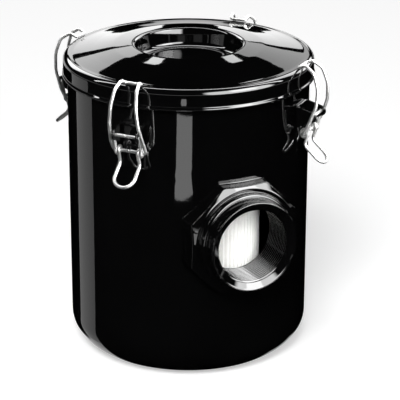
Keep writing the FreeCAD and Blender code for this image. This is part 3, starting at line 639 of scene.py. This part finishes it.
def earOutline(turn):
    # distance from the pivot to the ear's outline, in direction turn from +X: the tip's circle,
    # and past it the straight edges that run back to the plate
    b = bracket
    back = -(latch["pivotOut"] - b["sheet"] / 2)
    lowEdge, highEdge = math.radians(b["lowEdgeAngle"]), math.radians(b["highEdgeAngle"])
    corners = np.array([(back, -b["earFoot"]),
                        (b["earTip"] * math.cos(lowEdge), -b["earTip"] * math.sin(lowEdge)),
                        (b["earTip"] * math.cos(highEdge), b["earTip"] * math.sin(highEdge)),
                        (back, b["earTop"])])
    direction = np.stack([np.cos(turn), np.sin(turn)], axis=-1)
    distance = np.full(len(turn), b["earTip"])
    for start, end in ((corners[0], corners[1]), (corners[2], corners[3]), (corners[3], corners[0])):
        edge = end - start
        across = direction[:, 0] * edge[1] - direction[:, 1] * edge[0]
        safe = np.where(abs(across) < 1e-9, 1e-9, across)
        reach = (start[0] * edge[1] - start[1] * edge[0]) / safe
        share = (start[0] * direction[:, 1] - start[1] * direction[:, 0]) / safe
        hit = (reach > 0) & (share >= 0) & (share <= 1)
        distance = np.where(hit, np.maximum(distance, reach), distance)
    return distance


def buildBracket(number, angle):
    # plate that follows the wall, and two ears as rings of points between the pin's hole and the outline
    b = bracket
    low, high = latch["pivotHeight"] - b["plateFoot"], latch["pivotHeight"] + b["earTop"]
    faceRadius = wallRadius + b["weldGap"] + b["sheet"]
    half = math.asin((latch["earHalf"] - 0.02) / faceRadius)
    swing = np.linspace(-half, half, b["plateColumns"])[:, None]
    heights = np.linspace(low, high, b["plateRows"])
    plate = np.stack([faceRadius * np.cos(swing) + 0 * heights, faceRadius * np.sin(swing) + 0 * heights,
                      heights + 0 * swing], axis=-1)
    grids = [(plate, gridFaces(b["plateColumns"], b["plateRows"], False, False))]
    turn = np.linspace(0, 2 * math.pi, b["earColumns"], endpoint=False)
    outlineReach = earOutline(turn)
    share = np.linspace(0, 1, b["earRings"])[:, None]
    reach = b["hole"] + (outlineReach - b["hole"]) * share
    ear = np.stack([wallRadius + latch["pivotOut"] + reach * np.cos(turn), 0 * reach + latch["earHalf"],
                    latch["pivotHeight"] + reach * np.sin(turn)], axis=-1)
    quads = gridFaces(b["earRings"], b["earColumns"], False, True)
    grids.append((ear, quads))
    grids.append((ear * [1, -1, 1], quads[:, ::-1]))
    points, faces = joined(grids)
    piece = addPiece("latchBracket%d" % number, turnedTo(points, angle), faces)
    thickened(piece, b["sheet"], b["edge"])
    dress(piece, blackEnamel, "black_paint", "housing", "latch_%d_bracket" % number)


for number, angle in enumerate(latchTurns, start=1):
    buildBracket(number, angle)
    buildLever(number, angle)
    buildBail(number, angle)
print("latches built")


# Floor, camera and light

viewpoint = dict(turn=-24.8, distance=1.4288, height=0.67042, yaw=0.0065, pitch=0.3711, roll=0.0031,
                 lens=171.49, sensor=36)


def aroundView(azimuth, distance, height):
    # azimuth counts from the camera, to the right in the picture, distance from the canister's axis
    turn = math.radians(viewpoint["turn"] + azimuth)
    return np.array([distance * math.sin(turn), -distance * math.cos(turn), height])


def buildCamera():
    v = viewpoint
    data = bpy.data.cameras.new("photographer")
    data.sensor_width = v["sensor"]
    data.sensor_fit = "HORIZONTAL"
    data.lens = v["lens"]
    data.clip_end = 50
    camera = bpy.data.objects.new("photographer", data)
    bpy.context.scene.collection.objects.link(camera)
    place = aroundView(0, v["distance"], v["height"])
    inward = -aroundView(0, 1, 0)
    right = np.array([inward[1], -inward[0], 0])
    level = math.cos(v["yaw"]) * inward + math.sin(v["yaw"]) * right
    right = np.array([level[1], -level[0], 0])
    ahead = math.cos(v["pitch"]) * level - math.sin(v["pitch"]) * np.array([0, 0, 1])
    up = np.cross(right, ahead)
    right, up = (math.cos(v["roll"]) * right + math.sin(v["roll"]) * up,
                 math.cos(v["roll"]) * up - math.sin(v["roll"]) * right)
    placed = np.eye(4)
    placed[:3, 0], placed[:3, 1], placed[:3, 2], placed[:3, 3] = right, up, -ahead, place
    camera.matrix_world = Matrix(placed.tolist())
    bpy.context.scene.camera = camera


floor = dict(reach=6.0, drop=0.0003, colour=0.80, glow=0.48)


def buildFloor():
    # white floor: it takes the lamps' light and shadow, and its white is topped up for the camera and
    # for reflections
    r, low = floor["reach"], -floor["drop"]
    mesh = bpy.data.meshes.new("paleFloor")
    mesh.from_pydata([(-r, -r, low), (r, -r, low), (r, r, low), (-r, r, low)], [], [(0, 1, 2, 3)])
    piece = bpy.data.objects.new("paleFloor", mesh)
    bpy.context.scene.collection.objects.link(piece)
    material, nodes, links, shader = startMaterial("palePaper")
    shader.inputs["Base Color"].default_value = (floor["colour"],) * 3 + (1,)
    shader.inputs["Roughness"].default_value = 0.9
    shader.inputs["Specular IOR Level"].default_value = 0.0
    shader.inputs["Emission Color"].default_value = (1, 1, 1, 1)
    rays = nodes.new("ShaderNodeLightPath")
    seen, through, glow = (nodes.new("ShaderNodeMath") for count in range(3))
    seen.operation = through.operation = "MAXIMUM"
    glow.operation = "MULTIPLY"
    links.new(rays.outputs["Is Camera Ray"], seen.inputs[0])
    links.new(rays.outputs["Is Glossy Ray"], seen.inputs[1])
    links.new(seen.outputs[0], through.inputs[0])
    links.new(rays.outputs["Is Transmission Ray"], through.inputs[1])
    links.new(through.outputs[0], glow.inputs[0])
    glow.inputs[1].default_value = floor["glow"]
    links.new(glow.outputs[0], shader.inputs["Emission Strength"])
    piece.data.materials.append(material)


def addSoftbox(name, azimuth, distance, height, size, radiance, aim=(0, 0, 0.12)):
    # rectangular light of even brightness, aimed at a point of the object
    data = bpy.data.lights.new(name, "AREA")
    data.shape = "RECTANGLE"
    data.size, data.size_y = size
    data.energy = radiance * math.pi * size[0] * size[1]
    light = bpy.data.objects.new(name, data)
    bpy.context.scene.collection.objects.link(light)
    place = aroundView(azimuth, distance, height)
    back = place - np.array(aim)
    back /= np.linalg.norm(back)
    side = np.cross([0, 0, 1], back)
    side /= np.linalg.norm(side)
    placed = np.eye(4)
    placed[:3, 0], placed[:3, 1], placed[:3, 2], placed[:3, 3] = side, np.cross(back, side), back, place
    light.matrix_world = Matrix(placed.tolist())
    light.visible_camera = False
    return light


def addCard(name, points, faces, radiance, fade=None):
    # bright card, or a black one, that only shows as a reflection in gloss and metal; fade holds the
    # share of its brightness at each point
    mesh = bpy.data.meshes.new(name)
    mesh.from_pydata(points.tolist(), [], faces.tolist())
    piece = bpy.data.objects.new(name, mesh)
    bpy.context.scene.collection.objects.link(piece)
    material, nodes, links, shader = startMaterial(name)
    shader.inputs["Base Color"].default_value = (0, 0, 0, 1)
    shader.inputs["Specular IOR Level"].default_value = 0.0
    shader.inputs["Emission Color"].default_value = (1, 1, 1, 1)
    shader.inputs["Emission Strength"].default_value = radiance
    if fade is not None:
        # a faded card adds its light to what lies behind it
        mesh.attributes.new("fade", "FLOAT", "POINT").data.foreach_set("value", fade.astype(np.float32))
        share = nodes.new("ShaderNodeAttribute")
        share.attribute_name = "fade"
        strength = nodes.new("ShaderNodeMath")
        strength.operation = "MULTIPLY"
        strength.inputs[1].default_value = radiance
        clear = nodes.new("ShaderNodeBsdfTransparent")
        both = nodes.new("ShaderNodeAddShader")
        links.new(share.outputs["Fac"], strength.inputs[0])
        links.new(strength.outputs[0], shader.inputs["Emission Strength"])
        links.new(shader.outputs[0], both.inputs[0])
        links.new(clear.outputs[0], both.inputs[1])
        links.new(both.outputs[0], nodes["Material Output"].inputs["Surface"])
    piece.data.materials.append(material)
    piece.visible_camera = False
    piece.visible_diffuse = False
    piece.visible_shadow = False


def addBackCard(name, corners, radiance, distance=2.5):
    # corners by azimuth from straight behind, to the right, and elevation, both seen from the lid
    spots = []
    for azimuth, elevation in corners:
        rise = math.radians(elevation)
        spots.append(aroundView(180 - azimuth, distance * math.cos(rise),
                                lid["rim"] * mm + distance * math.sin(rise)))
    addCard(name, np.array(spots), np.array([[0, 1, 2, 3]]), radiance)


def addBand(name, azimuths, elevations, radiance, distance=2.5, soft=0.0):
    # part of a sphere round the inlet: azimuth from the camera, to the right, by elevation; its soft
    # edge follows 1 - (|u|^4 + |v|^4), with u and v from -1 to 1 across the card
    u, v = np.meshgrid(np.linspace(-1, 1, 41), np.linspace(-1, 1, 25), indexing="ij")
    azimuth = np.radians(azimuths[0] + (azimuths[1] - azimuths[0]) * (u + 1) / 2 + viewpoint["turn"])
    rise = np.radians(elevations[0] + (elevations[1] - elevations[0]) * (v + 1) / 2)
    points = distance * np.stack([np.sin(azimuth) * np.cos(rise), -np.cos(azimuth) * np.cos(rise),
                                  np.sin(rise)], axis=-1).reshape(-1, 3)
    fade = np.clip((1 - u ** 4 - v ** 4) / soft, 0, 1).reshape(-1) if soft else None
    addCard(name, points + [0, 0, inletHeight * mm], gridFaces(41, 25, False, False), radiance, fade)


def addOverheadStrip(name, halfLength, halfWidth, tilt, radiance, distance=2.2):
    # long narrow lamp that arches over the part from left to right: at angle a from straight up the
    # direction is sin a to the right and cos a up, leaned back by the tilt
    a, w = np.meshgrid(np.radians(np.linspace(-halfLength, halfLength, 41)),
                       np.radians(tilt) + np.radians([-halfWidth, halfWidth]), indexing="ij")
    behind, right = -aroundView(0, 1, 0), aroundView(90, 1, 0)
    points = distance * (np.sin(a)[..., None] * right + (np.cos(a) * np.sin(w))[..., None] * behind
                         + (np.cos(a) * np.cos(w))[..., None] * np.array([0, 0, 1.0]))
    addCard(name, points.reshape(-1, 3), gridFaces(41, 2, False, False), radiance)


def addUpright(name, distance, corners, radiance):
    # card that stands in front of the canister and faces it; corners to the right and up, in metres
    ahead, right = aroundView(0, 1, 0), aroundView(90, 1, 0)
    points = np.array([ahead * distance + right * across + [0, 0, height] for across, height in corners])
    addCard(name, points, np.array([[0, 1, 2, 3]]), radiance)


def sightFromWall(angles, lengths):
    # the camera's sight line off the wall at angle a leaves at 2 a: wall(a) + t (sin 2a, -cos 2a)
    turn = math.radians(viewpoint["turn"])
    radius = wallRadius * mm
    return (radius * np.sin(angles + turn) + lengths * np.sin(2 * angles + turn),
            -radius * np.cos(angles + turn) - lengths * np.cos(2 * angles + turn))


def addWallFan(name, fromAngle, toAngle, near, far, radiance):
    # fan on the floor that the wall shows as an upright strip
    angles, lengths = np.meshgrid(np.radians(np.linspace(fromAngle, toAngle, 9)), np.linspace(near, far, 12),
                                  indexing="ij")
    x, y = sightFromWall(angles, lengths)
    points = np.stack([x, y, 0 * x + 0.0006], axis=-1).reshape(-1, 3)
    addCard(name, points, gridFaces(9, 12, False, False), radiance)


def addWallFlag(name, fromAngle, toAngle, away, low, high):
    # black curtain beside the canister that keeps the white floor off the wall's edges
    angles, heights = np.meshgrid(np.radians(np.linspace(fromAngle, toAngle, 9)), np.array([low, high]),
                                  indexing="ij")
    x, y = sightFromWall(angles, away)
    addCard(name, np.stack([x, y, heights], axis=-1).reshape(-1, 3), gridFaces(9, 2, False, False), 0.0)


# azimuth from the camera, distance, height, size in metres and radiance
softboxes = dict(topLight=(-10, 3.3, 3.3, (1.7, 1.7), 19.5), throughInlet=(2, 1.15, 0.64, (0.50, 0.34), 54.0))
# azimuths, elevations, radiance, distance and softness of the edge
bands = dict(window=((12, 82), (-5, 45), 15.0, 2.5, 0.5), windowCore=((38, 66), (14, 46), 9.0, 2.45, 0.5),
             backWindow=((118, 160), (8, 62), 8.0, 2.5, 0.6),
             backLeft=((-165, -130), (18, 48), 9.0, 2.5, 0.6),
             darkStudio=((-180, 180), (0, 90), 0.0, 3.4))
# corners and radiance
backCards = dict(upperLeft=([(-13, 29.5), (-5.2, 23.2), (-5.2, 18.2), (-13, 19.6)], 2.6),
                 lowerLeft=([(-13, 16.2), (-5.2, 18.1), (-1.8, 3.2), (-13, 3.8)], 2.6),
                 upperRight=([(5.2, 23.5), (13, 27.0), (13, 16.2), (5.2, 15.2)], 1.5),
                 lowerRight=([(5.2, 15.0), (13, 13.2), (13, 3.8), (1.8, 2.8)], 2.4),
                 leftStreak=([(-3.0, 27.6), (-4.4, 26.0), (-7.6, 32.0), (-6.0, 34.0)], 4.8),
                 rightStreak=([(4.0, 26.0), (5.2, 24.2), (8.9, 30.0), (7.4, 32.0)], 3.8))
uprights = dict(frontStrip=(0.477, [(-0.093, 0.0), (0.022, 0.006), (0.026, 0.088), (-0.080, 0.088)], 3.1),
                frontKnob=(0.477, [(-0.052, 0.099), (-0.012, 0.097), (-0.016, 0.112), (-0.044, 0.113)], 3.4))
# first and last angle on the wall, nearest and farthest reach, radiance
wallFans = dict(leftStrip=(-66, -52, 0.01, 1.00, 0.68), blackPaper=(-51.9, 87, -0.03, 1.8, 0.0),
                leftPaper=(-92, -66.3, 0.0, 0.8, 0.0), farPaper=(-66, -52, 1.005, 1.8, 0.0))
# first and last angle on the wall, distance from it, foot and top
wallFlags = dict(leftFlag=(-67, -89.5, 0.08, 0.002, 0.187), rightFlag=(60, 87, 0.08, 0.03, 0.187))
studio = dict(worldGrey=0.22, stripLength=66, stripWidth=4.0, stripTilt=6.0, stripRadiance=16.0,
              inletFlagNear=0.16, inletFlagFar=0.46, inletFlagSide=0.034, inletFlagTop=0.16)


def buildLights():
    # plain world and two soft lamps; the cards only show in gloss, and the second lamp only lights
    # the paper behind the inlet
    bpy.context.scene.view_settings.view_transform = "Standard"
    world = bpy.data.worlds.new("studio")
    bpy.context.scene.world = world
    world.use_nodes = True
    world.node_tree.nodes["Background"].inputs["Color"].default_value = (studio["worldGrey"],) * 3 + (1,)
    world.node_tree.nodes["Background"].inputs["Strength"].default_value = 1.0
    for name, values in softboxes.items():
        addSoftbox(name, *values).visible_glossy = False
    litPieces = bpy.data.collections.new("litThroughInlet")
    litPieces.objects.link(bpy.data.objects["pleatedPaper"])
    bpy.data.objects["throughInlet"].light_linking.receiver_collection = litPieces
    for name, values in bands.items():
        addBand(name, *values)
    addOverheadStrip("overheadStrip", studio["stripLength"], studio["stripWidth"], studio["stripTilt"],
                     studio["stripRadiance"])
    for name, values in backCards.items():
        addBackCard(name, *values)
    for name, values in uprights.items():
        addUpright(name, *values)
    for name, values in wallFans.items():
        addWallFan(name, *values)
    for name, values in wallFlags.items():
        addWallFlag(name, *values)
    near, far, top = studio["inletFlagNear"], studio["inletFlagFar"], studio["inletFlagTop"]
    aside = aroundView(90, studio["inletFlagSide"], 0)
    beside = [aroundView(0, away, height) + aside
              for away, height in ((near, 0), (far, 0), (far, top), (near, top))]
    addCard("inletFlag", np.array(beside), np.array([[0, 1, 2, 3]]), 0.0)


buildCamera()
buildFloor()
buildLights()
print("stage built")
